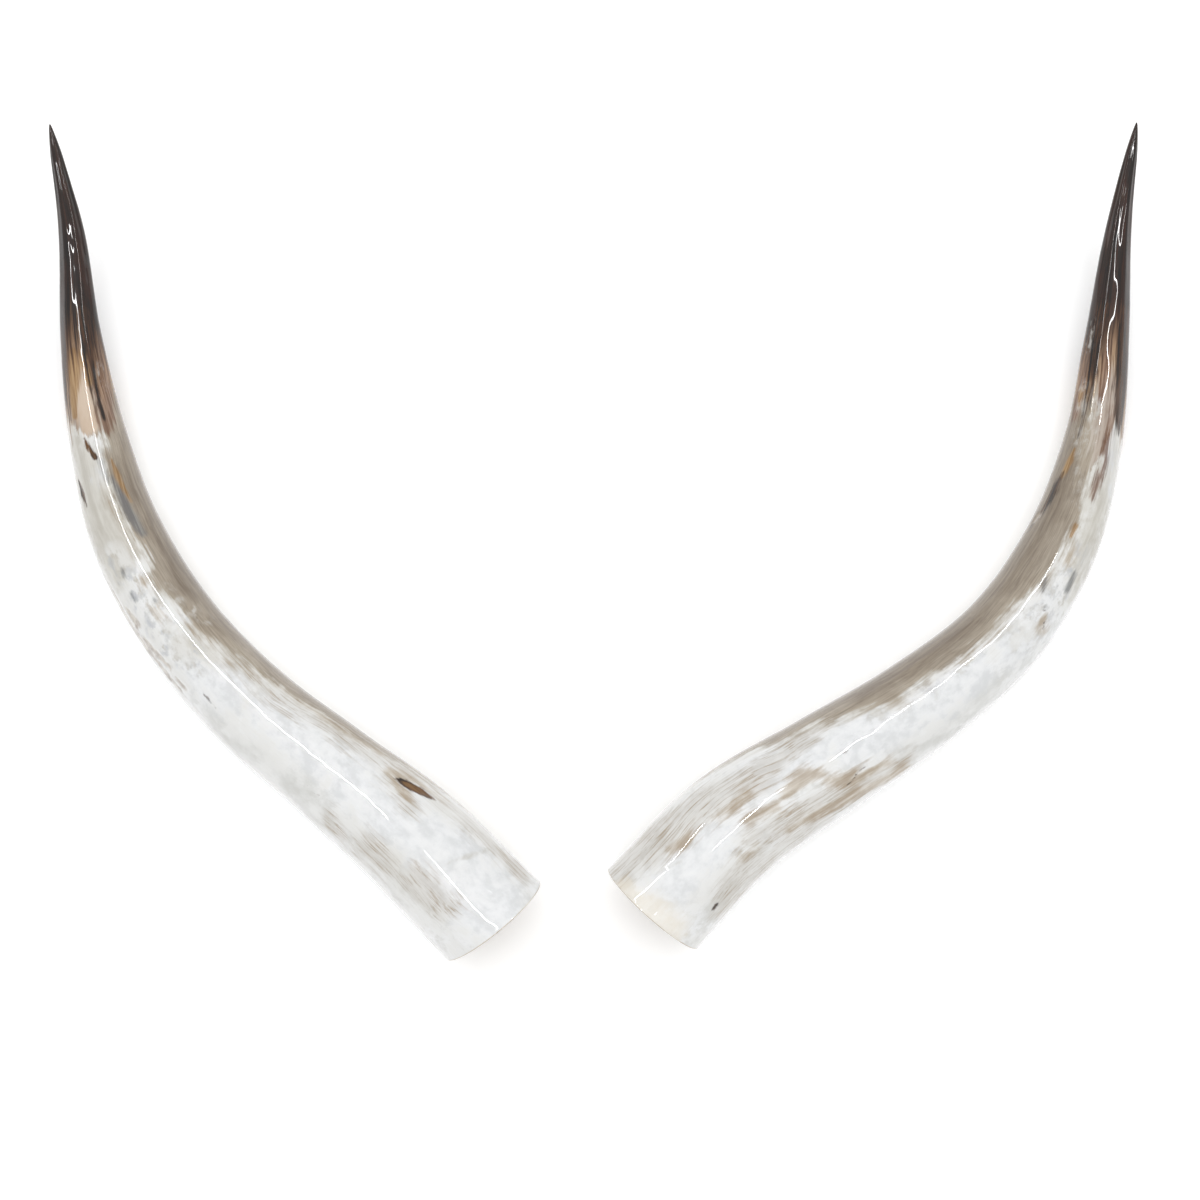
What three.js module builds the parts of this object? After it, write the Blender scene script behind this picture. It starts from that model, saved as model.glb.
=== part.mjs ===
// A pair of polished cow horns lying on a flat surface, their sawn bases close together
// and their points rising away from it. Millimetres, +Z up.
// The origin is on the surface, at the middle of the pair's outline in plan.
// Each horn grew as one piece: a hollow sheath with an open mouth at the base and a solid point.
import * as THREE from "three";

// Each horn's sawn rim leans out at its top by rimLean degrees, and out at the right-hand side,
// seen looking from the base along the horn, by rimTurn degrees. The stations follow the middle line
// from the base to the point: place in plan, height of the underside over the surface, and width.
const LEFT_HORN = {
  rimLean: 16,
  rimTurn: 5,
  stations: [
    { x: -84, y: -326, lift: 0, width: 101 },
    { x: -150, y: -260, lift: 1, width: 97 },
    { x: -221, y: -202, lift: 2, width: 86 },
    { x: -293, y: -144, lift: 1, width: 79 },
    { x: -355, y: -76, lift: 0, width: 72 },
    { x: -403, y: 3, lift: 1, width: 65 },
    { x: -432, y: 90, lift: 6, width: 52 },
    { x: -449, y: 180, lift: 21, width: 38 },
    { x: -457, y: 270, lift: 48, width: 24 },
    { x: -472, y: 355, lift: 88, width: 7 },
  ],
};
const RIGHT_HORN = {
  rimLean: 13,
  rimTurn: -2,
  stations: [
    { x: 48, y: -316, lift: 0, width: 100 },
    { x: 114, y: -248, lift: 1, width: 97 },
    { x: 194, y: -196, lift: 2, width: 89 },
    { x: 273, y: -145, lift: 1, width: 81 },
    { x: 347, y: -84, lift: 0, width: 74 },
    { x: 400, y: -6, lift: 1, width: 66 },
    { x: 432, y: 83, lift: 5, width: 53 },
    { x: 447, y: 177, lift: 18, width: 41 },
    { x: 457, y: 270, lift: 44, width: 25 },
    { x: 471, y: 360, lift: 80, width: 7 },
  ],
};

const FLATNESS = 0.95; // height of the oval section over its width
const POINT_LENGTH = 35; // stretch over which the horn rounds off to its point
const RIM_REACH = 150; // stretch over which the sections come square to the middle line
const WALL_AT_RIM = 6; // thickness of the sheath at the mouth
const EDGE_ROUND = 1; // softened edges of the sawn rim
const CAVITY_DEPTH = 480; // how far the hollow reaches in from the mouth
const CAVITY_BLUNTNESS = 3; // the higher, the longer the wall stays thin before the hollow closes

const SIDES = 32; // facets round a section
const OUTER_RINGS = 38; // sections along the outside
const CAVITY_RINGS = 14; // sections along the hollow
const CROWDING = 1.2; // above 1 the outer sections stand closer together towards the point

const HORN_FINISH = { color: 0xcdc5ba, roughness: 0.18, metalness: 0 };

const UP = new THREE.Vector3(0, 0, 1);

// A smooth curve through the points, read with t from 0 (base) to 1 (point).
function smoothThrough(points) {
  return new THREE.CatmullRomCurve3(points, false, "catmullrom", 0.5);
}

// The middle line of a horn, and beside it half the width and half the height of its sections.
function hornCurves(stations) {
  const centres = stations.map(
    ({ x, y, lift, width }) => new THREE.Vector3(x, y, lift + (width * FLATNESS) / 2),
  );
  const halves = stations.map(
    ({ width }) => new THREE.Vector3(width / 2, (width * FLATNESS) / 2, 0),
  );
  return { middle: smoothThrough(centres), section: smoothThrough(halves) };
}

// Half of the sheath's profile: across it the share of the section's radius, up it the share of
// the length. It runs from the hollow's end on the axis, out over the rim, to the point on the axis.
function sheathProfile(length, rimRadius) {
  const profile = [];
  const mouth = 1 - WALL_AT_RIM / rimRadius;
  for (let ring = CAVITY_RINGS; ring >= 1; ring--) {
    const inward = ring / CAVITY_RINGS;
    const share = mouth * Math.sqrt(1 - Math.pow(inward, CAVITY_BLUNTNESS));
    profile.push(new THREE.Vector2(share, (inward * CAVITY_DEPTH) / length));
  }

  const round = EDGE_ROUND / rimRadius;
  profile.push(new THREE.Vector2(mouth, EDGE_ROUND / length));
  profile.push(new THREE.Vector2(mouth + round, 0));
  profile.push(new THREE.Vector2(1 - round, 0));
  profile.push(new THREE.Vector2(1, EDGE_ROUND / length));

  const pointStart = 1 - POINT_LENGTH / length;
  for (let ring = 1; ring <= OUTER_RINGS; ring++) {
    const t = 1 - Math.pow(1 - ring / OUTER_RINGS, CROWDING);
    const intoPoint = Math.max(0, (t - pointStart) / (1 - pointStart));
    profile.push(new THREE.Vector2(Math.sqrt(1 - intoPoint * intoPoint), t));
  }
  return profile;
}

// A straight turned sheath whose sections are then carried onto the bending middle line.
function hornGeometry({ stations, rimLean, rimTurn }) {
  const { middle, section } = hornCurves(stations);
  const length = middle.getLength();
  const profile = sheathProfile(length, stations[0].width / 2);
  const geometry = new THREE.LatheGeometry(profile, SIDES);
  const leanSlope = Math.tan(THREE.MathUtils.degToRad(rimLean));
  const turnSlope = Math.tan(THREE.MathUtils.degToRad(rimTurn));

  const place = geometry.getAttribute("position");
  for (let i = 0; i < place.count; i++) {
    const t = place.getY(i);
    const half = section.getPoint(t);
    const across = place.getX(i) * half.x;
    const height = place.getZ(i) * half.y;

    const along = middle.getTangent(t);
    const sideways = along.clone().cross(UP).normalize();
    const upright = sideways.clone().cross(along);
    const rimShare = 1 - THREE.MathUtils.smoothstep(t * length, 0, RIM_REACH);
    const outward = rimShare * (leanSlope * height + turnSlope * across);

    const p = middle
      .getPoint(t)
      .addScaledVector(sideways, across)
      .addScaledVector(upright, height)
      .addScaledVector(along, -outward);
    place.setXYZ(i, p.x, p.y, p.z);
  }
  geometry.computeVertexNormals();
  return geometry;
}

function horn(name, form) {
  const mesh = new THREE.Mesh(hornGeometry(form), new THREE.MeshStandardMaterial(HORN_FINISH));
  mesh.name = name;
  return mesh;
}

const pair = new THREE.Group();
pair.add(horn("left_horn", LEFT_HORN));
pair.add(horn("right_horn", RIGHT_HORN));

export default pair;
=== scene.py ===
# A pair of polished cow horns lying on a pale floor, points raised, seen from above in soft studio light.
from collections import namedtuple

import bpy
import numpy as np
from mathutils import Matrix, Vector


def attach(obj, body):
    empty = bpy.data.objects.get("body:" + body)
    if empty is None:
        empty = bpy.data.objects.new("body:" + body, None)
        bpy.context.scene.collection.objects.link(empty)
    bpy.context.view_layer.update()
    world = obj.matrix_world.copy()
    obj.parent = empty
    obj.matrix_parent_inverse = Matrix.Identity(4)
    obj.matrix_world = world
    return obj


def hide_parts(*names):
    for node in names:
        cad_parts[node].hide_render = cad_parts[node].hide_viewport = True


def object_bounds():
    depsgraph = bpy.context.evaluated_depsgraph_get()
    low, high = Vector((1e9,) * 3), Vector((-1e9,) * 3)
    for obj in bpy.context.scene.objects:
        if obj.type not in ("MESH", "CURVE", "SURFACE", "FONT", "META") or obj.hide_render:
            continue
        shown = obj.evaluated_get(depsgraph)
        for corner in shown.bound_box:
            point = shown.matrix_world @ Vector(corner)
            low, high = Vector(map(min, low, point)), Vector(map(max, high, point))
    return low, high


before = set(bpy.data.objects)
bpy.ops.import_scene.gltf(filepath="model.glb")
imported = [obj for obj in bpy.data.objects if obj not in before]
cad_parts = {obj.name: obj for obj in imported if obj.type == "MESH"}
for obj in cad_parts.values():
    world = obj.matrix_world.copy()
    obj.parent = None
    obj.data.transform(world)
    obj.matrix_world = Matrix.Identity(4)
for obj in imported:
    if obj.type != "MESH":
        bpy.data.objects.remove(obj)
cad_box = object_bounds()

MM = 0.001

# The horns' own sizes, in millimetres, as the solids have them.
FLATNESS = 0.95  # height of the oval section over its width
POINT_LENGTH = 35.0  # stretch over which the horn rounds off to its point
RIM_REACH = 150.0  # stretch over which the sections come square to the middle line
WALL_AT_RIM = 6.0  # thickness of the sheath at the mouth
EDGE_ROUND = 1.0  # softened edges of the sawn rim
HOLLOW_DEPTH = 480.0  # how far the hollow reaches in from the mouth
HOLLOW_BLUNTNESS = 3.0  # the higher, the longer the wall stays thin before the hollow closes

# How finely the skin is divided.
COLUMNS = 176  # round a section
OUTER_ROWS = 450  # along the outside
RIM_ROWS = 6  # across the sawn face
EDGE_ROWS = 3  # round each softened edge
HOLLOW_ROWS = 70  # along the hollow
CROWDING = 1.2  # above 1 the outer rows stand closer together towards the point
HOLLOW_CROWDING = 1.5  # above 1 the hollow's rows stand closer together towards the mouth
LINE_STEPS = 4000  # steps in which the middle line is measured
TANGENT_STEP = 1e-4  # share of the line to each side over which its direction is taken

TINY = 1e-9  # keeps a place inside the last span, and a length above nought

# Relief of the skin, in millimetres.
INSET = 0.55  # how far the rounded skin stays inside the faceted solid
RIM_FADE = 12.0  # stretch over which the relief fades out at the rim
POINT_FADE = 60.0  # stretch over which it fades out at the point
FLAT_DEPTH = 0.32  # scraped flats along the point
FLATS = 7  # how many flats there are round it
FLATS_FROM = 560.0  # where they begin, from the base
FLATS_FADE = 60.0  # stretch over which they deepen
FLATS_TURN = 3.0  # how far their wave is turned from the top, in radians of the wave
FLATS_WANDER = 0.5  # how far the turn changes along the horn
FLATS_WAVES = (120, 1)  # the longest wave of that change, and the most waves round the horn

# Waves of the skin: their depth and the longest one along the horn, in millimetres, and the most round it.
SCRAPES = (0.24, 130, 4)
RIPPLES = (0.07, 34, 9)
CHIP_BREAKS = (0.4, 11, 40)  # as a share of the chip's depth
HOLLOW_RIDGES = (0.5, 300, 22)
HOLLOW_RINGS = (0.35, 22, 2)
HOLLOW_UNEVENNESS = (0.9, 220, 3)

# Sunk marks, in millimetres: how deep they go, how wide their slope is, and its share outside the mark.
KNOT_SINK = (0.5, 3, 0.4)
CHIP_SINK = (1.3, 4, 0.5)
CRACK_SINK = (0.4, 2, 0.6)
SEAM_OPENING = 0.5  # how far a seam opens, against a crack
SEAM_SETBACK = 0.4  # how much narrower its opening is than the seam

OUTSIDE, RIM, HOLLOW = 0, 1, 2  # the three surfaces, and their material slots

# Marks lie on the skin by millimetres from the base and degrees from the top towards the inner side
# of the bend. A stroke is a run of such places, each with the mark's half width there in millimetres.
# A tip edge gives, round the horn, where the dark point begins, and a warm edge where the pale skin ends
# below it. A band edge gives, along the horn, where the grey-brown band on the inner side begins.
Horn = namedtuple(
    "Horn", "name node stations rim_lean rim_turn inner_side seed tip_edge warm_edge band_edge strokes"
)

LEFT_HORN = Horn(
    name="left_polished_horn",
    node="left_horn",
    # place in plan, height of the underside over the floor, and width, from the base to the point
    stations=[
        (-84, -326, 0, 101), (-150, -260, 1, 97), (-221, -202, 2, 86), (-293, -144, 1, 79),
        (-355, -76, 0, 72), (-403, 3, 1, 65), (-432, 90, 6, 52), (-449, 180, 21, 38),
        (-457, 270, 48, 24), (-472, 355, 88, 7),
    ],
    rim_lean=16,
    rim_turn=5,
    inner_side=1,
    seed=11,
    tip_edge=[
        (-180, 610), (-100, 600), (-66, 590), (-52, 600), (-40, 620), (-24, 634), (-6, 638), (8, 632),
        (20, 616), (32, 604), (44, 622), (60, 632), (100, 624), (140, 612), (180, 610),
    ],
    warm_edge=[
        (-180, 560), (-90, 572), (-56, 574), (-44, 568), (-30, 560), (-14, 553), (4, 551), (20, 549),
        (30, 548), (40, 556), (60, 552), (120, 548), (180, 560),
    ],
    band_edge=[
        (40, 100), (98, 84), (142, 70), (178, 62), (227, 54), (272, 48), (313, 36), (343, 27), (364, 24),
        (399, 12), (427, 20), (462, 18), (486, 14), (522, 17), (548, 26), (580, 36), (640, 42), (831, 45),
    ],
    strokes={
        "beige": [
            [(560, -44, 10), (530, -30, 18), (490, -26, 24), (450, -22, 24), (430, -40, 14)],
            [(345, -4, 12), (318, 6, 10)],
        ],
        "glass": [
            [(275, -46, 16), (220, -42, 20), (170, -50, 16)],
            [(120, -58, 12), (60, -54, 12)],
        ],
        "milk": [
            [(374, 15, 6), (354, 23, 7)],
            [(402, 11, 3)],
            [(546, 15, 3), (528, 12, 3), (512, -4, 4)],
            [(318, -18, 14), (290, -10, 18)],
            [(250, 2, 18), (210, 8, 20), (170, 14, 20)],
            [(113, 30, 5), (107, 32, 5)],
            [(150, 4, 22), (120, 2, 20)],
            [(90, 10, 24), (30, 6, 34)],
        ],
        "curdled": [
            [(440, -30, 10), (412, -22, 16), (380, -18, 18), (350, -24, 18), (330, -10, 14)],
            [(372, 14, 6), (352, 22, 7)],
        ],
        "hairy_and_shade": [
            [(340, 24, 8), (290, 36, 10), (240, 40, 11), (190, 42, 9), (150, 44, 7)],
            [(152, -48, 9), (140, -52, 7)],
            [(116, -42, 14), (96, -40, 12)],
            [(66, -31, 16), (42, -30, 14)],
            [(136, 34, 9), (110, 24, 7)],
            [(180, 58, 10), (96, 56, 12), (60, 60, 10), (24, 62, 10)],
        ],
        "tan": [
            [(384, -11, 4), (376, -9, 3)],
            [(410, -5, 3)],
            [(366, 27, 6), (334, 31, 6)],
            [(290, 42, 4), (250, 47, 5), (200, 54, 6), (160, 60, 5)],
            [(142, 40, 5), (122, 52, 5), (96, 60, 3)],
            [(132, 32, 2), (118, 30, 3)],
        ],
        "slate": [
            [(526, 3, 2), (504, 6, 1.5)],
            [(508, 13, 1.5), (486, 19, 4), (468, 24, 5.5), (450, 28, 3)],
            [(428, -26, 2), (424, -27, 1.5)],
            [(408, -31, 2.6), (402, -31, 2)],
            [(391, -6, 2)],
        ],
        "peach": [[(608, -2, 2), (596, -5, 6), (578, -8, 9), (562, -6, 9)]],
        "amber": [
            [(626, -20, 8), (604, -27, 7), (574, -34, 3)],
            [(624, 8, 6), (600, 14, 3)],
            [(526, 21, 0.6), (508, 25, 2.6), (482, 32, 0.8)],
        ],
        "rust": [
            [(622, 30, 4), (600, 32, 6), (575, 32, 6), (556, 30, 5)],
            [(660, 56, 10), (620, 52, 10), (590, 50, 8), (566, 46, 5)],
        ],
        "dark": [
            [(664, 24, 7), (623, 25, 4.5), (600, 23, 2.6), (580, 23, 1.6), (566, 28, 0.8)],
            [(650, -64, 6), (606, -60, 4.5), (590, -56, 3), (572, -50, 1)],
        ],
        "knot": [
            [(552, -19, 1), (545, -16, 2), (531, -6, 2.4)],
            [(517, -54, 1), (505, -50, 2.8), (493, -46, 1)],
            [(134, 38, 0.8), (124, 41.5, 4.6), (115, 45, 5), (102, 49, 0.8)],
        ],
        "fleck": [
            [(304, -32, 0.6), (296, -33, 1.4), (286, -34, 0.5)],
            [(186, -30, 1)],
            [(178, -33, 0.5)],
            [(174, -31, 0.6)],
            [(168, -35, 0.4)],
        ],
        "chip": [
            [(402, -56, 2), (386, -52, 3)],
            [(372, -58, 2), (356, -54, 3.5), (340, -48, 2)],
            [(330, -52, 1.5), (318, -50, 1)],
            [(440, -76, 1.5), (418, -70, 3), (396, -72, 4), (368, -68, 4), (344, -64, 3), (322, -62, 1)],
        ],
        "seam": [[(64, 6, 0.6), (58, 24, 1), (52, 44, 1), (50, 62, 0.6)]],
        # Painted highlight: pale patches where broad soft glints lie on the polish.
        "painted_glint": [
            [(398, 10, 2), (381, 18, 4), (366, 30, 5), (352, 36, 3)],
            [(612, 42, 3), (598, 44, 2)],
        ],
    },
)

RIGHT_HORN = Horn(
    name="right_polished_horn",
    node="right_horn",
    stations=[
        (48, -316, 0, 100), (114, -248, 1, 97), (194, -196, 2, 89), (273, -145, 1, 81),
        (347, -84, 0, 74), (400, -6, 1, 66), (432, 83, 5, 53), (447, 177, 18, 41),
        (457, 270, 44, 25), (471, 360, 80, 7),
    ],
    rim_lean=13,
    rim_turn=-2,
    inner_side=-1,
    seed=29,
    tip_edge=[
        (-180, 630), (-110, 606), (-75, 594), (-52, 624), (-30, 656), (-12, 672), (8, 662), (26, 644),
        (40, 634), (56, 640), (90, 646), (130, 640), (180, 630),
    ],
    warm_edge=[
        (-180, 590), (-80, 576), (-56, 584), (-40, 592), (-26, 588), (-16, 566), (-4, 548), (14, 520),
        (40, 510), (90, 520), (140, 560), (180, 590),
    ],
    band_edge=[
        (40, 104), (94, 84), (132, 68), (188, 52), (216, 38), (264, 23), (322, 20), (368, 14), (395, 24),
        (429, 6), (460, 3), (495, 4), (520, 10), (545, 10), (580, 26), (640, 34), (856, 40),
    ],
    strokes={
        "beige": [
            [(588, -36, 8), (560, -38, 10), (530, -42, 14), (500, -32, 15), (466, -38, 15), (440, -56, 10)],
            [(510, -60, 8), (480, -66, 10)],
            [(558, -16, 8), (530, -8, 10), (504, -12, 10)],
        ],
        "glass": [
            [(330, -56, 14), (280, -50, 16), (240, -44, 12)],
            [(90, -52, 16), (50, -46, 18)],
        ],
        "milk": [
            [(582, -30, 2), (558, -36, 4), (530, -52, 4)],
            [(424, -16, 6), (414, -22, 6)],
            [(400, -34, 12), (368, -20, 13)],
            [(330, -10, 18), (290, -10, 20)],
            [(260, -2, 20), (215, 6, 22)],
            [(180, 22, 18), (120, 26, 18)],
            [(112, -18, 8)],
            [(80, 0, 16), (30, 4, 20)],
        ],
        "curdled": [
            [(470, -24, 8), (440, -34, 12), (410, -26, 12), (384, -24, 14)],
            [(350, 8, 7), (300, 12, 8), (240, 16, 7)],
        ],
        "hairy_and_shade": [
            [(240, -58, 12), (190, -46, 14), (140, -34, 14), (100, -24, 10)],
            [(200, 48, 8), (130, 24, 14), (90, 34, 18), (40, 48, 22), (12, 58, 18)],
            [(90, -46, 14), (60, -44, 14)],
            # Painted shade: this stroke darkens the lower outer flank along the outline, where less light
            # falls.
            [(160, -60, 11), (100, -64, 13), (44, -66, 13)],
        ],
        "tan": [
            [(470, -18, 4), (458, -14, 5)],
            [(404, -33, 3), (398, -40, 3)],
            [(230, -42, 5), (198, -34, 6), (178, -18, 5)],
            [(176, -8, 4), (162, -2, 7), (142, -6, 6)],
            [(130, -14, 5), (106, -8, 3)],
            [(238, -66, 7), (198, -56, 7), (160, -44, 6), (130, -42, 3)],
            [(116, 14, 3), (90, 12, 2)],
            [(98, -34, 2), (78, -30, 2)],
            [(64, 21, 3), (50, 25, 2)],
        ],
        "slate": [
            [(452, -35, 2), (438, -38, 2.4)],
            [(434, 0, 1), (424, -6, 1)],
            [(414, -22, 1.4)],
        ],
        "amber": [
            [(558, 40, 1), (546, 43, 3.6), (530, 48, 2.4)],
            [(488, -6, 2), (478, -4, 2)],
            [(616, 58, 3), (600, 56, 1.5)],
        ],
        "rust": [
            [(604, -22, 1), (580, -20, 2.8), (560, -16, 2.8)],
            [(562, -22, 0.6), (540, -20, 2.4), (518, -12, 3)],
            [(660, 6, 6), (630, 8, 5), (606, 10, 2)],
            [(660, 60, 9), (620, 62, 8), (590, 60, 4)],
        ],
        "dark": [
            [(690, 30, 8), (656, 32, 5), (622, 34, 3.4), (598, 36, 2), (570, 40, 0.6)],
            [(690, -46, 8), (650, -42, 9), (620, -40, 9), (598, -40, 7), (582, -44, 2)],
            [(534, 49, 1.4), (514, 54, 4.2), (498, 60, 3), (470, 68, 0.6)],
        ],
        "knot": [[(39.5, -49, 2.4), (36.5, -50, 2)]],
        "fleck": [
            [(411, -24, 1.2)],
            [(404, -34, 1.2), (400, -40, 1)],
            [(210, 0, 0.4), (200, -3, 0.6)],
            [(495, -72, 0.6), (530, -76, 0.4)],
        ],
        "chip": [[(489, 66, 3), (483, 68, 2.5)]],
        "seam": [[(13, 33, 0.4), (30, 20, 0.8), (49, 9, 0.4)]],
        # Painted highlight: pale patches where broad soft glints lie on the polish.
        "painted_glint": [
            [(676, 50, 3), (656, 52, 4)],
            [(622, 46, 5), (594, 42, 6), (568, 40, 4)],
            [(608, 12, 5), (588, 14, 7), (568, 12, 5)],
            [(590, 26, 1.6), (564, 27, 1.2), (548, 24, 1)],
            [(540, 22, 1.4), (522, 10, 1.6), (510, 0, 1.4)],
        ],
        "crack": [[(210, -28.5, 0.3), (201, -30, 0.7), (196, -33.5, 0.6), (188, -35.5, 0.3)]],
        "cream": [[(-4, 34, 12), (2, 4, 16), (4, -28, 13)]],
    },
)

# Tones as they look under the studio light, red, green and blue from 0 to 255.
MILK_WHITE = (244, 245, 246)
MILK_COOL = (225, 227, 229)
GLASS_PALE = (237, 237, 235)
GLASS_GREY = (213, 213, 209)
BEIGE_PALE = (214, 211, 202)
BEIGE_GREY = (194, 189, 178)
HAIR_GREY = (202, 197, 189)
HAIR_PALE = (222, 220, 215)
TAN_LIGHT = (213, 203, 188)
TAN_DEEP = (172, 155, 133)
TAUPE_LIGHT = (178, 167, 151)
TAUPE_DEEP = (145, 133, 118)
TAUPE_EDGE = (118, 106, 95)
SLATE_LIGHT = (186, 189, 195)
SLATE_MID = (148, 149, 148)
SLATE_DEEP = (112, 113, 115)
PEACH_LIGHT = (218, 200, 181)
PEACH_DEEP = (200, 177, 154)
WARM_LIGHT = (188, 174, 161)
WARM_DEEP = (150, 131, 116)
AMBER_LIGHT = (188, 155, 112)
AMBER_DEEP = (148, 115, 78)
RUST_LIGHT = (162, 134, 116)
RUST_DEEP = (112, 82, 66)
BROWN_LIGHT = (146, 118, 96)
BROWN_DEEP = (92, 70, 58)
DARK_LIGHT = (68, 53, 46)
DARK_DEEP = (46, 38, 36)
KNOT_LIGHT = (112, 80, 52)
KNOT_DEEP = (44, 34, 31)
CREAM_LIGHT = (246, 241, 230)
CREAM_DEEP = (239, 230, 213)
SAWN_LIGHT = (236, 231, 221)
SAWN_DEEP = (210, 201, 187)
RAW_LIGHT = (232, 220, 198)
RAW_DEEP = (196, 174, 146)
RAW_RIDGE = (150, 122, 96)

STUDIO_GAIN = 1.2  # how much brighter an upward face looks than its own colour
STUDIO_GLOSS = 0.026  # light that the polish throws back over everything
BLACKEST = 0.004

STROKE_KINDS = (
    "beige", "glass", "milk", "curdled", "hairy_and_shade", "tan", "slate", "peach", "amber", "rust", "dark",
    "cream", "chip", "fleck", "seam", "crack", "knot", "painted_glint",
)
FAR_AWAY = 90.0  # millimetres from any mark
BAND_FAR_SIDE = 128.0  # degrees from the top where the band on the inner side ends
GRAIN_RADIUS = 0.035  # fibres are laid out on a straight rod of this radius, in metres
GRAIN_WANDER = (0.02, 0.012, 0.012)  # how far they wander on it, along and across, in metres
GRAIN_BENDS = 11.0  # how many times to the metre
NOISE_SPAN = (0.3, 0.7)  # nearly all of a noise's values lie between these


def smooth_through(points, t):
    """Uniform Catmull-Rom curve through the points, read at t from 0 to 1: between two points b and c, with
    a before and d after, half of 2b + (c-a)f + (2a-5b+4c-d)f^2 + (3b-a-3c+d)f^3, the ends being mirrored."""
    points = np.asarray(points, float)
    spans = len(points) - 1
    padded = np.vstack([2 * points[0] - points[1], points, 2 * points[-1] - points[-2]])
    place = np.clip(t * spans, 0, spans - TINY)
    span = place.astype(int)
    f = (place - span)[:, None]
    a, b, c, d = (padded[span + step] for step in range(4))
    return 0.5 * (2 * b + (c - a) * f + (2 * a - 5 * b + 4 * c - d) * f**2 + (3 * b - a - 3 * c + d) * f**3)


def unit(vectors):
    """Each row of an array of vectors, made one long."""
    return vectors / np.linalg.norm(vectors, axis=-1, keepdims=True)


def smooth_step(value):
    """0 below 0, 1 above 1, and 3v^2 - 2v^3 between."""
    v = np.clip(value, 0, 1)
    return v * v * (3 - 2 * v)


def horn_centres(horn):
    """The stations as points of the middle line, with the half width of the section as a fourth column."""
    x, y, lift, width = np.array(horn.stations, float).T
    return np.column_stack([x, y, lift + width * FLATNESS / 2, width / 2])


def sheath_profile(length, rim_radius):
    """The sheath's outline from the hollow's end, over the rim, to the point: share of the section's radius,
    millimetres along the horn, and which surface each row is on. The hollow narrows as the root of
    1 - depth^bluntness, the edges of the rim are quarter circles, and the point is a quarter ellipse."""
    mouth = 1 - WALL_AT_RIM / rim_radius
    soft = EDGE_ROUND / rim_radius
    depth = np.sin(np.linspace(np.pi / 2, 0, HOLLOW_ROWS + 1)[1:-1]) ** HOLLOW_CROWDING
    hollow = mouth * np.sqrt(1 - depth**HOLLOW_BLUNTNESS)
    quarter = np.linspace(0, np.pi / 2, EDGE_ROWS + 1)
    flat = np.linspace(mouth + soft, 1 - soft, RIM_ROWS + 1)[1:-1]
    reach = 1 - (1 - np.arange(1, OUTER_ROWS) / OUTER_ROWS) ** CROWDING
    outer = EDGE_ROUND + reach * (length - EDGE_ROUND)
    into_point = np.clip(1 - (length - outer) / POINT_LENGTH, 0, 1)
    share = np.concatenate([
        hollow,
        mouth + soft * (1 - np.cos(quarter)),
        flat,
        1 - soft * (1 - np.sin(quarter)),
        np.sqrt(1 - into_point**2),
    ])
    along = np.concatenate([
        depth * HOLLOW_DEPTH,
        EDGE_ROUND * (1 - np.sin(quarter)),
        np.zeros(len(flat)),
        EDGE_ROUND * (1 - np.cos(quarter)),
        outer,
    ])
    surface = np.concatenate([
        np.full(len(hollow), HOLLOW),
        np.full(len(along) - len(hollow) - len(outer), RIM),
        np.full(len(outer), OUTSIDE),
    ])
    return share, along, surface


# One horn's grid. By rows: share of the section's radius, place on the middle line from 0 to 1, millimetres
# along it, the section's radius and the surface. By columns: two angles. Then the line's length and points.
Skin = namedtuple("Skin", "share t along radius surface angle inward length centres")


def horn_skin(horn):
    """The grid of one horn's skin. Rows follow the profile and columns go round it. Along is the distance on
    the middle line in millimetres; inward is the angle from the top towards the inner side of the bend."""
    centres = horn_centres(horn)
    samples = np.linspace(0, 1, LINE_STEPS + 1)
    line = smooth_through(centres, samples)[:, :3]
    run = np.concatenate([[0], np.cumsum(np.linalg.norm(np.diff(line, axis=0), axis=1))])
    share, place, surface = sheath_profile(run[-1], horn.stations[0][3] / 2)
    t = place / run[-1]
    along = np.interp(t, samples, run)
    radius = smooth_through(centres, t)[:, 3]
    angle = np.linspace(0, 2 * np.pi, COLUMNS, endpoint=False)
    inward = (horn.inner_side * angle + np.pi) % (2 * np.pi) - np.pi
    return Skin(share, t, along[:, None], radius[:, None], surface, angle, inward[None], run[-1], centres)


def stroke_depth(skin, stroke):
    """How deep each point of the skin lies inside a stroke, in millimetres, negative outside: the half width
    at the nearest place of the stroke less the distance to it, both measured on the unrolled skin."""
    deepest = np.full(skin.inward.shape, -FAR_AWAY)
    ends = stroke[1:] or stroke
    for (s0, deg0, half0), (s1, deg1, half1) in zip(stroke, ends):
        run = s1 - s0
        rise = np.radians(deg1 - deg0) * skin.radius
        x = skin.along - s0
        y = ((skin.inward - np.radians(deg0) + np.pi) % (2 * np.pi) - np.pi) * skin.radius
        share = np.clip((x * run + y * rise) / (run**2 + rise**2 + TINY), 0, 1)
        away = np.hypot(x - share * run, y - share * rise)
        deepest = np.maximum(deepest, half0 + (half1 - half0) * share - away)
    return deepest


def mark_depths(horn, skin):
    """For each kind of mark, how deep every point lies inside it. The dark point and the warm skin below
    it count along the horn from their edges, the band across the skin from its edge and its far side."""
    nowhere = np.full((len(skin.t), COLUMNS), -FAR_AWAY)
    depths = {}
    for kind in STROKE_KINDS:
        depths[kind] = nowhere
        for stroke in horn.strokes.get(kind, []):
            depths[kind] = np.maximum(depths[kind], stroke_depth(skin, stroke))
    for mark, edge in (("tip", horn.tip_edge), ("warm", horn.warm_edge)):
        edge_turn, edge_along = np.array(edge, float).T
        depths[mark] = skin.along - np.interp(np.degrees(skin.inward), edge_turn, edge_along)
    band_along, band_turn = np.array(horn.band_edge, float).T
    near = skin.inward - np.radians(np.interp(skin.along, band_along, band_turn))
    far = np.radians(BAND_FAR_SIDE) - skin.inward
    depths["taupe"] = np.minimum(near, far) * skin.radius
    return depths


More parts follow.
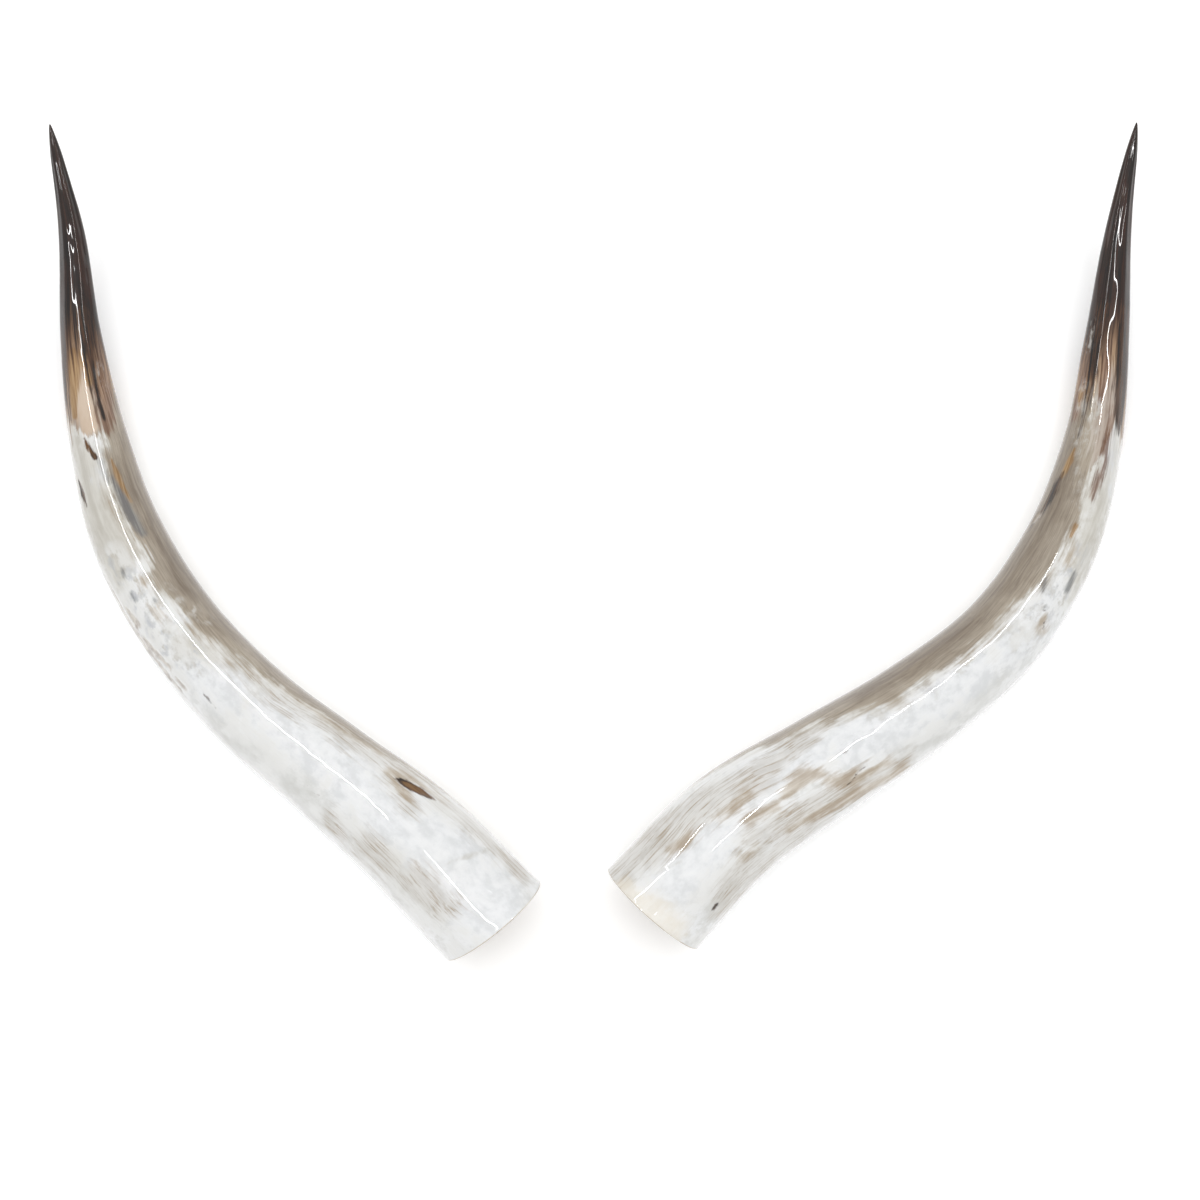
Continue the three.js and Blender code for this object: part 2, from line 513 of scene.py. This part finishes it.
def waves(skin, seed, longest, most_round, count=7):
    """A gentle unevenness from -1 to 1: the mean of cosine waves, each with its own length along the horn
    and its own whole number of waves round it."""
    draw = np.random.default_rng(seed)
    total = 0.0
    for _ in range(count):
        length = longest * draw.uniform(0.5, 1.3)
        round_waves = draw.integers(-most_round, most_round + 1)
        phase = draw.uniform(0, 2 * np.pi)
        total = total + np.cos(2 * np.pi * skin.along / length + round_waves * skin.inward + phase)
    return total / count


def sunk_waves(skin, seed, depth, longest, most_round):
    """The depth times the waves less one, so that nothing stands out from the even sheath."""
    return depth * (waves(skin, seed, longest, most_round) - 1)


def sunk_mark(inside, deepest, slope, outer_share):
    """The depth of a mark: an eased step across its edge, as wide as the slope, times the deepest."""
    return -deepest * smooth_step(inside / slope + outer_share)


def relief(horn, skin, depths):
    """How far the surface stands in from the even sheath, in millimetres, never positive. Outside it is the
    sum of the scraping's waves, flats along the point, sunk knots, chips and cracks; in the hollow the sum
    of lengthwise ridges, growth rings and slow unevenness. A flat is its depth times a cosine less one."""
    scraped = sunk_waves(skin, horn.seed, *SCRAPES)
    rippled = sunk_waves(skin, horn.seed + 1, *RIPPLES)
    turned = FLATS * skin.inward + FLATS_TURN + FLATS_WANDER * waves(skin, horn.seed + 6, *FLATS_WAVES)
    flats = FLAT_DEPTH * (np.cos(turned) - 1) * smooth_step((skin.along - FLATS_FROM) / FLATS_FADE)
    knots = sunk_mark(depths["knot"], *KNOT_SINK)
    chips = sunk_mark(depths["chip"], *CHIP_SINK) * (1 + sunk_waves(skin, horn.seed + 2, *CHIP_BREAKS))
    opened = np.maximum(depths["crack"], SEAM_OPENING * depths["seam"] - SEAM_SETBACK)
    cracks = sunk_mark(opened, *CRACK_SINK)
    outside = scraped + rippled + flats + knots + chips + cracks
    ridges = sunk_waves(skin, horn.seed + 3, *HOLLOW_RIDGES)
    rings = sunk_waves(skin, horn.seed + 4, *HOLLOW_RINGS)
    uneven = sunk_waves(skin, horn.seed + 5, *HOLLOW_UNEVENNESS)
    hollow = ridges + rings + uneven
    surface = skin.surface[:, None]
    return np.where(surface == OUTSIDE, outside, np.where(surface == HOLLOW, hollow, 0.0))


def horn_points(horn, skin, depths):
    """Each section is an oval carried along the middle line: middle + sideways * across + upright * height.
    Near the base the sections lean back along it, more the higher and the further across they reach."""
    middle = smooth_through(skin.centres, skin.t)[:, None, :3]
    ahead = smooth_through(skin.centres, np.clip(skin.t + TANGENT_STEP, 0, 1))[:, :3]
    behind = smooth_through(skin.centres, np.clip(skin.t - TANGENT_STEP, 0, 1))[:, :3]
    tangent = unit(ahead - behind)
    sideways = unit(np.cross(tangent, [0, 0, 1]))
    upright = np.cross(sideways, tangent)
    reach = skin.share[:, None] * (skin.radius - INSET + relief(horn, skin, depths) * blunt_fade(skin))
    across = reach * np.sin(skin.angle)
    height = reach * np.cos(skin.angle) * FLATNESS
    rim_share = 1 - smooth_step(skin.t[:, None] * skin.length / RIM_REACH)
    lean, turn = np.tan(np.radians([horn.rim_lean, horn.rim_turn]))
    back = rim_share * (lean * height + turn * across)
    return (
        middle
        + across[..., None] * sideways[:, None]
        + height[..., None] * upright[:, None]
        - back[..., None] * tangent[:, None]
    ) * MM


def blunt_fade(skin):
    """1 along the sheath, falling to 0 at the rim and at the point, where the relief fades out."""
    from_rim = smooth_step(skin.along / RIM_FADE)
    from_point = smooth_step((skin.length - skin.along) / POINT_FADE)
    return from_rim * from_point


def grain_place(horn, skin):
    """Where each point would lie if the horn were a straight rod of one thickness: fibres then run along it
    and close in towards the point. Each horn has its own stretch of the rod."""
    s = np.broadcast_to(skin.along * MM + horn.seed, (len(skin.t), COLUMNS))
    side = np.broadcast_to(GRAIN_RADIUS * np.sin(skin.inward), s.shape)
    top = np.broadcast_to(GRAIN_RADIUS * np.cos(skin.inward), s.shape)
    return np.stack([s, side, top], axis=-1)


def with_poles(grid):
    """A grid's values in one column, with the means of its first and last rows at its ends as poles."""
    flat = grid.reshape(-1, *grid.shape[2:])
    return np.concatenate([grid[:1].mean(1), flat, grid[-1:].mean(1)])


def horn_faces(rows):
    """Four-sided faces between neighbouring rows, closed round the columns, and a fan at each pole,
    with the row that each face starts from."""
    row, column = np.meshgrid(np.arange(rows - 1), np.arange(COLUMNS), indexing="ij")
    after = (column + 1) % COLUMNS
    corners = [row * COLUMNS + column, row * COLUMNS + after]
    corners += [(row + 1) * COLUMNS + after, (row + 1) * COLUMNS + column]
    quads = np.stack(corners, axis=-1).reshape(-1, 4) + 1
    turn = np.arange(COLUMNS)
    next_turn = (turn + 1) % COLUMNS
    last = (rows - 1) * COLUMNS + 1
    first_fan = np.column_stack([np.zeros_like(turn), next_turn + 1, turn + 1])
    last_fan = np.column_stack([np.full_like(turn, rows * COLUMNS + 1), last + turn, last + next_turn])
    faces = quads.tolist() + first_fan.tolist() + last_fan.tolist()
    starts = np.concatenate([row.ravel(), np.zeros_like(turn), np.full_like(turn, rows - 1)])
    return faces, starts


def horn_mesh(horn, materials):
    """One horn as a closed mesh at the origin, with its grain and its marks as attributes of the points."""
    skin = horn_skin(horn)
    depths = mark_depths(horn, skin)
    points = with_poles(horn_points(horn, skin, depths))
    middle_end = smooth_through(skin.centres, np.array([1.0]))[0, :3] * MM
    points[-1] = middle_end
    faces, starts = horn_faces(len(skin.t))
    mesh = bpy.data.meshes.new(horn.name)
    mesh.from_pydata(points.tolist(), [], faces)
    for material in materials:
        mesh.materials.append(material)
    surface_after = np.append(skin.surface[1:], OUTSIDE)
    face_surface = np.where(skin.surface == HOLLOW, HOLLOW, surface_after)[starts]
    mesh.polygons.foreach_set("material_index", face_surface.astype(np.int32))
    mesh.shade_smooth()
    for kind, depth in depths.items():
        field = mesh.attributes.new(kind, "FLOAT", "POINT")
        field.data.foreach_set("value", with_poles(depth).astype(np.float32))
    grain = mesh.attributes.new("grain", "FLOAT_VECTOR", "POINT")
    grain.data.foreach_set("vector", with_poles(grain_place(horn, skin)).astype(np.float32).ravel())
    piece = bpy.data.objects.new(horn.name, mesh)
    bpy.context.scene.collection.objects.link(piece)
    return piece


def tone(rgb):
    """The linear colour of a finish that looks like this tone under the studio light."""
    seen = np.array(rgb, float) / 255
    linear = np.where(seen <= 0.04045, seen / 12.92, ((seen + 0.055) / 1.055) ** 2.4)
    own = np.maximum((linear - STUDIO_GLOSS) / STUDIO_GAIN, BLACKEST)
    return (*own, 1.0)


# Node building: each helper adds one node and gives back the socket that the next one reads.
def add_node(tree, kind, inputs, output=0, **settings):
    """A node of this kind with its settings made, and its inputs set or linked."""
    node = tree.nodes.new(kind)
    for name, value in settings.items():
        setattr(node, name, value)
    for socket, value in inputs.items():
        if isinstance(value, bpy.types.NodeSocket):
            tree.links.new(value, node.inputs[socket])
        else:
            node.inputs[socket].default_value = value
    return node.outputs[output]


def maths(tree, operation, first, second):
    """Two values taken together by one operation."""
    return add_node(tree, "ShaderNodeMath", {0: first, 1: second}, operation=operation)


def blend(tree, share, below, above):
    """The colour below, covered by the colour above as far as share says."""
    return add_node(tree, "ShaderNodeMix", {0: share, 6: below, 7: above}, output=2, data_type="RGBA")


def ramp(tree, value, low, high, to_low=0.0, to_high=1.0):
    """The value between low and high, eased, as a value between two others."""
    inputs = {0: value, 1: low, 2: high, 3: to_low, 4: to_high}
    return add_node(tree, "ShaderNodeMapRange", inputs, interpolation_type="SMOOTHSTEP")


def attribute(tree, name, output="Fac"):
    """A value kept at the points of the mesh."""
    return add_node(tree, "ShaderNodeAttribute", {}, output=output, attribute_name=name)


def use_group(tree, group, output, **inputs):
    """One output of a shader group, placed with its own inputs."""
    return add_node(tree, "ShaderNodeGroup", inputs, output=output, node_tree=group)


def new_group(name, inputs, outputs):
    """An empty shader group with named sockets, and its two end nodes."""
    group = bpy.data.node_groups.new(name, "ShaderNodeTree")
    for socket, kind in inputs.items():
        group.interface.new_socket(socket, in_out="INPUT", socket_type=kind)
    for socket, kind in outputs.items():
        group.interface.new_socket(socket, in_out="OUTPUT", socket_type=kind)
    return group, group.nodes.new("NodeGroupInput").outputs, group.nodes.new("NodeGroupOutput").inputs


def grown_noise_group():
    """Noise drawn out along the grain: Along and Across are how many patches there are to the metre, and Lot
    picks another stretch of the same noise. The grain itself wanders a little from side to side."""
    names = ("Along", "Across", "Detail", "Lot")
    inputs = dict.fromkeys(names, "NodeSocketFloat")
    group, given, result = new_group("grown_noise", inputs, {"Value": "NodeSocketFloat"})
    place = attribute(group, "grain", "Vector")
    bends = {"Vector": place, "Scale": GRAIN_BENDS, "Detail": 2.0}
    wander = add_node(group, "ShaderNodeTexNoise", bends, output=1)
    centred = add_node(group, "ShaderNodeVectorMath", {0: wander, 1: (0.5, 0.5, 0.5)}, operation="SUBTRACT")
    sway = add_node(group, "ShaderNodeVectorMath", {0: centred, 1: GRAIN_WANDER}, operation="MULTIPLY")
    swayed = add_node(group, "ShaderNodeVectorMath", {0: place, 1: sway}, operation="ADD")
    lot = add_node(group, "ShaderNodeCombineXYZ", {0: given["Lot"]})
    moved = add_node(group, "ShaderNodeVectorMath", {0: swayed, 1: lot}, operation="ADD")
    stretch = {0: given["Along"], 1: given["Across"], 2: given["Across"]}
    scale = add_node(group, "ShaderNodeCombineXYZ", stretch)
    drawn = add_node(group, "ShaderNodeVectorMath", {0: moved, 1: scale}, operation="MULTIPLY")
    noise = {"Vector": drawn, "Scale": 1.0, "Detail": given["Detail"], "Roughness": 0.6}
    group.links.new(add_node(group, "ShaderNodeTexNoise", noise), result["Value"])
    return group


def ragged_edge_group():
    """A mask from a depth in millimetres: 1 inside the mark and 0 outside, its edge Softness wide and pushed
    in and out by the noise as far as Reach."""
    inputs = {"Depth": "NodeSocketFloat", "Noise": "NodeSocketFloat"}
    inputs |= {"Reach": "NodeSocketFloat", "Softness": "NodeSocketFloat"}
    group, given, result = new_group("ragged_edge", inputs, {"Mask": "NodeSocketFloat"})
    lowest, highest = NOISE_SPAN
    span = {0: given["Noise"], 1: lowest, 2: highest, 3: -1.0, 4: 1.0}
    swing = add_node(group, "ShaderNodeMapRange", span)
    push = maths(group, "MULTIPLY", swing, given["Reach"])
    depth = maths(group, "ADD", given["Depth"], push)
    below = maths(group, "MULTIPLY", given["Softness"], -1.0)
    group.links.new(ramp(group, depth, below, given["Softness"]), result["Mask"])
    return group


# The noises that fray and tint: patches to the metre along and across the grain, how finely broken, and lot.
NOISES = {
    "hairs": (30, 900, 3.0, 0.0),
    "streaks": (22, 280, 5.0, 1.0),
    "long_streaks": (8, 190, 5.0, 2.0),
    "curdles": (105, 150, 6.0, 3.0),
    "puffs": (90, 130, 6.0, 4.0),
    "clouds": (30, 55, 7.0, 5.0),
    "drifts": (10, 18, 4.0, 6.0),
}
# Noises that are the mean of two others.
MIXED_NOISES = {
    "tufts": ("streaks", "curdles"),
    "billows": ("clouds", "curdles"),
    "wisps": ("streaks", "clouds"),
    "felt": ("hairs", "drifts"),
}

# The unmarked skin over its glassy ground: a tint, the noise that lays it on, the values between which it
# fades in, and how much it covers.
GROUND_TINTS = [
    (MILK_WHITE, "clouds", 0.36, 0.64, 1.0),
    (GLASS_GREY, "billows", 0.48, 0.6, 0.65),
    (MILK_WHITE, "puffs", 0.54, 0.66, 0.5),
    (BEIGE_PALE, "drifts", 0.52, 0.75, 0.45),
    (HAIR_PALE, "hairs", 0.52, 0.7, 0.3),
]

# One coat of marking: its depth attribute, two tones and the noise that mixes them, how ragged and how soft
# its edge is in millimetres, the noise that frays it, how much it covers, how far it is let out in
# millimetres, and the noise that breaks it into specks, with the values between which they fade in.
Coat = namedtuple(
    "Coat", "mark light deep tinted_by reach softness frayed_by cover offset specks", defaults=(0.0, None)
)

COATS = [
    Coat("beige", BEIGE_PALE, BEIGE_GREY, "wisps", 14, 12, "billows", 0.85),
    Coat("glass", GLASS_PALE, GLASS_GREY, "clouds", 12, 14, "clouds", 0.75),
    Coat("milk", MILK_WHITE, MILK_COOL, "billows", 14, 9, "billows", 0.75),
    Coat("curdled", SLATE_LIGHT, GLASS_GREY, "clouds", 8, 8, "clouds", 0.75, 0, ("puffs", 0.46, 0.64)),
    Coat("curdled", TAN_DEEP, BEIGE_GREY, "clouds", 8, 8, "clouds", 0.5, 0, ("billows", 0.5, 0.62)),
    Coat("curdled", MILK_WHITE, GLASS_PALE, "clouds", 8, 8, "clouds", 0.7, 0, ("clouds", 0.5, 0.62)),
    # Hairy streaks; one stroke of them on the right horn is painted shade along its lower outer flank.
    Coat("hairy_and_shade", HAIR_PALE, HAIR_GREY, "wisps", 12, 9, "wisps", 0.6),
    Coat("hairy_and_shade", HAIR_GREY, TAN_DEEP, "clouds", 12, 9, "wisps", 0.75, 0, ("hairs", 0.49, 0.64)),
    Coat("tan", TAN_LIGHT, TAN_DEEP, "wisps", 9, 5, "wisps", 0.78),
    Coat("warm", WARM_LIGHT, WARM_DEEP, "streaks", 12, 4, "tufts", 0.95),
    Coat("taupe", BEIGE_PALE, TAUPE_LIGHT, "wisps", 10, 7, "wisps", 0.7, 7),
    Coat("taupe", TAUPE_LIGHT, TAUPE_DEEP, "felt", 9, 4.5, "wisps", 0.9, 3),
    Coat("taupe", TAUPE_DEEP, TAUPE_EDGE, "streaks", 8, 10, "clouds", 0.62, -10),
    Coat("slate", SLATE_MID, SLATE_DEEP, "streaks", 3, 3, "wisps", 0.78),
    Coat("peach", PEACH_LIGHT, PEACH_DEEP, "drifts", 4, 3, "streaks", 0.95),
    Coat("tip", AMBER_LIGHT, BROWN_LIGHT, "streaks", 22, 14, "long_streaks", 0.7, 30),
    Coat("rust", RUST_LIGHT, RUST_DEEP, "streaks", 5, 3.5, "streaks", 0.8),
    Coat("amber", AMBER_LIGHT, AMBER_DEEP, "streaks", 2, 1.6, "streaks", 0.8),
    Coat("tip", BROWN_LIGHT, BROWN_DEEP, "streaks", 24, 22, "long_streaks", 0.9, 14),
    Coat("tip", DARK_LIGHT, DARK_DEEP, "wisps", 24, 26, "long_streaks", 0.97, -8),
    # Painted highlight: soft pale glints laid into the colour over the point and the skin.
    Coat("painted_glint", HAIR_PALE, GLASS_GREY, "wisps", 8, 5, "tufts", 0.6, 0, ("puffs", 0.42, 0.62)),
    Coat("dark", BROWN_DEEP, DARK_DEEP, "streaks", 3, 2.4, "streaks", 0.9),
    Coat("cream", CREAM_LIGHT, CREAM_DEEP, "wisps", 9, 8, "billows", 0.6),
    Coat("chip", TAN_LIGHT, WARM_DEEP, "curdles", 3, 2, "tufts", 0.6),
    Coat("fleck", SLATE_DEEP, RUST_DEEP, "curdles", 1.2, 0.8, "curdles", 0.7),
    Coat("seam", GLASS_GREY, BEIGE_GREY, "clouds", 1.5, 1.6, "clouds", 0.5),
    Coat("crack", RUST_DEEP, DARK_DEEP, "curdles", 0.6, 0.6, "curdles", 0.85),
    Coat("knot", KNOT_LIGHT, KNOT_DEEP, "wisps", 1.8, 1.1, "tufts", 0.97),
    Coat("knot", AMBER_DEEP, KNOT_LIGHT, "streaks", 1, 0.9, "streaks", 0.7, -2.2),
]

TINT_FADE = (0.38, 0.62)  # noise values between which a coat's light tone turns into its deep one

# The finishes: how rough each is at its smoothest and at its roughest, and how high its fibres stand, in
# metres, with how strongly they show.
SKIN_ROUGHNESS = (0.2, 0.32)
RIM_ROUGHNESS = (0.45, 0.7)
HOLLOW_ROUGHNESS = (0.55, 0.8)
SKIN_FIBRES = (0.0001, 0.25)
RIM_FIBRES = (0.0004, 0.6)
HOLLOW_FIBRES = (0.0008, 0.7)
UNDER_SHINE = 0.05  # shine of the bare horn under its polish
POLISH_ROUGHNESS = 0.03


def surface_shader(name):
    """A new material with one principled shader, and the tree and shader to build on."""
    material = bpy.data.materials.new(name)
    material.use_nodes = True
    tree = material.node_tree
    shader = tree.nodes["Principled BSDF"]
    return material, tree, shader


def bumped(tree, shader, height, distance, strength):
    """Fibres too fine for the mesh, raised where the height is bright."""
    inputs = {"Height": height, "Distance": distance, "Strength": strength}
    tree.links.new(add_node(tree, "ShaderNodeBump", inputs), shader.inputs["Normal"])


def polished_horn(grown_noise, ragged_edge):
    """Milky horn with its marks coat over coat, under a hand polish."""
    material, tree, shader = surface_shader("polished_horn")
    noise = {}
    for kind, (along, across, detail, lot) in NOISES.items():
        drawn = {"Along": along, "Across": across, "Detail": detail, "Lot": lot}
        noise[kind] = use_group(tree, grown_noise, "Value", **drawn)
    for kind, (first, second) in MIXED_NOISES.items():
        noise[kind] = maths(tree, "MULTIPLY", maths(tree, "ADD", noise[first], noise[second]), 0.5)
    depth = {mark: attribute(tree, mark) for mark in dict.fromkeys(coat.mark for coat in COATS)}

    def cover(below, share, most, above):
        return blend(tree, maths(tree, "MULTIPLY", share, most), below, above)

    colour = tone(GLASS_PALE)
    for tint, kind, low, high, most in GROUND_TINTS:
        colour = cover(colour, ramp(tree, noise[kind], low, high), most, tone(tint))
    for coat in COATS:
        inside = maths(tree, "ADD", depth[coat.mark], coat.offset)
        edge = {"Noise": noise[coat.frayed_by], "Reach": coat.reach, "Softness": coat.softness}
        share = use_group(tree, ragged_edge, "Mask", Depth=inside, **edge)
        if coat.specks:
            kind, low, high = coat.specks
            share = maths(tree, "MULTIPLY", share, ramp(tree, noise[kind], low, high))
        tint = blend(tree, ramp(tree, noise[coat.tinted_by], *TINT_FADE), tone(coat.light), tone(coat.deep))
        colour = cover(colour, share, coat.cover, tint)
    tree.links.new(colour, shader.inputs["Base Color"])
    tree.links.new(ramp(tree, noise["clouds"], 0.35, 0.7, *SKIN_ROUGHNESS), shader.inputs["Roughness"])
    shader.inputs["Specular IOR Level"].default_value = UNDER_SHINE
    shader.inputs["Coat Weight"].default_value = 1.0
    shader.inputs["Coat Roughness"].default_value = POLISH_ROUGHNESS
    bumped(tree, shader, noise["streaks"], *SKIN_FIBRES)
    return material


def sawn_rim(grown_noise):
    """The dull sawn face of the sheath, with the ends of its layers."""
    material, tree, shader = surface_shader("sawn_rim")
    layers = use_group(tree, grown_noise, "Value", Along=40, Across=420, Detail=4.0, Lot=0.0)
    patches = use_group(tree, grown_noise, "Value", Along=60, Across=70, Detail=4.0, Lot=1.0)
    colour = blend(tree, ramp(tree, patches, 0.35, 0.65), tone(SAWN_LIGHT), tone(SAWN_DEEP))
    colour = blend(tree, ramp(tree, layers, 0.45, 0.75, 0.0, 0.6), colour, tone(TAN_DEEP))
    tree.links.new(colour, shader.inputs["Base Color"])
    tree.links.new(ramp(tree, layers, *NOISE_SPAN, *RIM_ROUGHNESS), shader.inputs["Roughness"])
    bumped(tree, shader, layers, *RIM_FIBRES)
    return material


def raw_hollow(grown_noise):
    """The rough, stained inside of the sheath."""
    material, tree, shader = surface_shader("raw_hollow")
    ridges = use_group(tree, grown_noise, "Value", Along=7, Across=190, Detail=5.0, Lot=2.0)
    stains = use_group(tree, grown_noise, "Value", Along=26, Across=44, Detail=5.0, Lot=3.0)
    colour = blend(tree, ramp(tree, stains, 0.35, 0.68), tone(RAW_LIGHT), tone(RAW_DEEP))
    colour = blend(tree, ramp(tree, ridges, 0.45, 0.72, 0.0, 0.7), colour, tone(RAW_RIDGE))
    tree.links.new(colour, shader.inputs["Base Color"])
    tree.links.new(ramp(tree, stains, *NOISE_SPAN, *HOLLOW_ROUGHNESS), shader.inputs["Roughness"])
    bumped(tree, shader, ridges, *HOLLOW_FIBRES)
    return material


FLOOR_HALF = 9.0  # half the floor's width, in metres
FLOOR_GAP = 0.0002  # how far the floor lies under the horns, in metres
FLOOR_WHITE = (0.96, 0.96, 0.96, 1)
FLOOR_ROUGHNESS = 0.9
FLOOR_SHINE = 0.1
FLOOR_GLOW = 0.12  # keeps the shadows on it pale


def pale_floor():
    """A wide pale floor, just under the horns."""
    half = FLOOR_HALF
    level = cad_box[0].z - FLOOR_GAP
    corners = [(-half, -half, level), (half, -half, level), (half, half, level), (-half, half, level)]
    mesh = bpy.data.meshes.new("floor")
    mesh.from_pydata(corners, [], [(0, 1, 2, 3)])
    material, _, shader = surface_shader("floor_paper")
    shader.inputs["Base Color"].default_value = FLOOR_WHITE
    shader.inputs["Roughness"].default_value = FLOOR_ROUGHNESS
    shader.inputs["Specular IOR Level"].default_value = FLOOR_SHINE
    shader.inputs["Emission Color"].default_value = (1, 1, 1, 1)
    shader.inputs["Emission Strength"].default_value = FLOOR_GLOW
    mesh.materials.append(material)
    floor = bpy.data.objects.new("floor", mesh)
    bpy.context.scene.collection.objects.link(floor)


# Bright tubes overhead, seen only as glints, in metres: each one's place across and along, and its length.
LAMP_HEIGHT = 2.4
LAMP_WIDTH = 0.04
LAMP_TUBES = [(-0.82, 0.72, 1.2), (-0.5, -0.28, 0.44), (0.86, 0.58, 0.76), (0.65, -0.1, 0.5)]
LAMP_RADIANCE = 50.0

# A wide soft panel above them, and the even light of the room.
PANEL_HEIGHT = 2.8
PANEL_WIDTH = 3.6
PANEL_RADIANCE = 1.65
ROOM_LIGHT = 0.68


def add_lamp(name, place, across, along, radiance):
    """A flat rectangular lamp facing down; its power is radiance times pi times its area."""
    lamp = bpy.data.lights.new(name, "AREA")
    lamp.shape = "RECTANGLE"
    lamp.size = across
    lamp.size_y = along
    lamp.energy = radiance * np.pi * across * along
    holder = bpy.data.objects.new(name, lamp)
    holder.location = place
    bpy.context.scene.collection.objects.link(holder)
    return holder


def studio_light():
    """The tubes for the glints, the soft panel for the light, and the even white of the room."""
    for number, (x, y, length) in enumerate(LAMP_TUBES):
        tube = add_lamp(f"lamp_tube_{number}", (x, y, LAMP_HEIGHT), LAMP_WIDTH, length, LAMP_RADIANCE)
        tube.visible_diffuse = False
    panel = add_lamp("soft_panel", (0, 0, PANEL_HEIGHT), PANEL_WIDTH, PANEL_WIDTH, PANEL_RADIANCE)
    panel.visible_glossy = False
    world = bpy.data.worlds.new("studio")
    world.use_nodes = True
    room = world.node_tree.nodes["Background"]
    room.inputs["Color"].default_value = (1, 1, 1, 1)
    room.inputs["Strength"].default_value = ROOM_LIGHT
    bpy.context.scene.world = world
    bpy.context.scene.view_settings.view_transform = "Standard"


CAMERA_PLACE = Vector((0.00425, -0.4053, 1.885))
CAMERA_AIM = Vector((0.00425, -0.0471, 0.0))
CAMERA_LENS = 66  # millimetres
CAMERA_SENSOR = 36  # millimetres


def photo_camera():
    """The camera above the near edge of the pair, tilted towards its middle."""
    lens = bpy.data.cameras.new("camera")
    lens.lens = CAMERA_LENS
    lens.sensor_width = CAMERA_SENSOR
    camera = bpy.data.objects.new("camera", lens)
    camera.location = CAMERA_PLACE
    camera.rotation_euler = (CAMERA_AIM - CAMERA_PLACE).to_track_quat("-Z", "Y").to_euler()
    bpy.context.scene.collection.objects.link(camera)
    bpy.context.scene.camera = camera


fibres = grown_noise_group()
finishes = [polished_horn(fibres, ragged_edge_group()), sawn_rim(fibres), raw_hollow(fibres)]
for horn in (LEFT_HORN, RIGHT_HORN):
    piece = horn_mesh(horn, finishes)
    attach(piece, "root")
    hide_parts(horn.node)

pale_floor()
studio_light()
photo_camera()
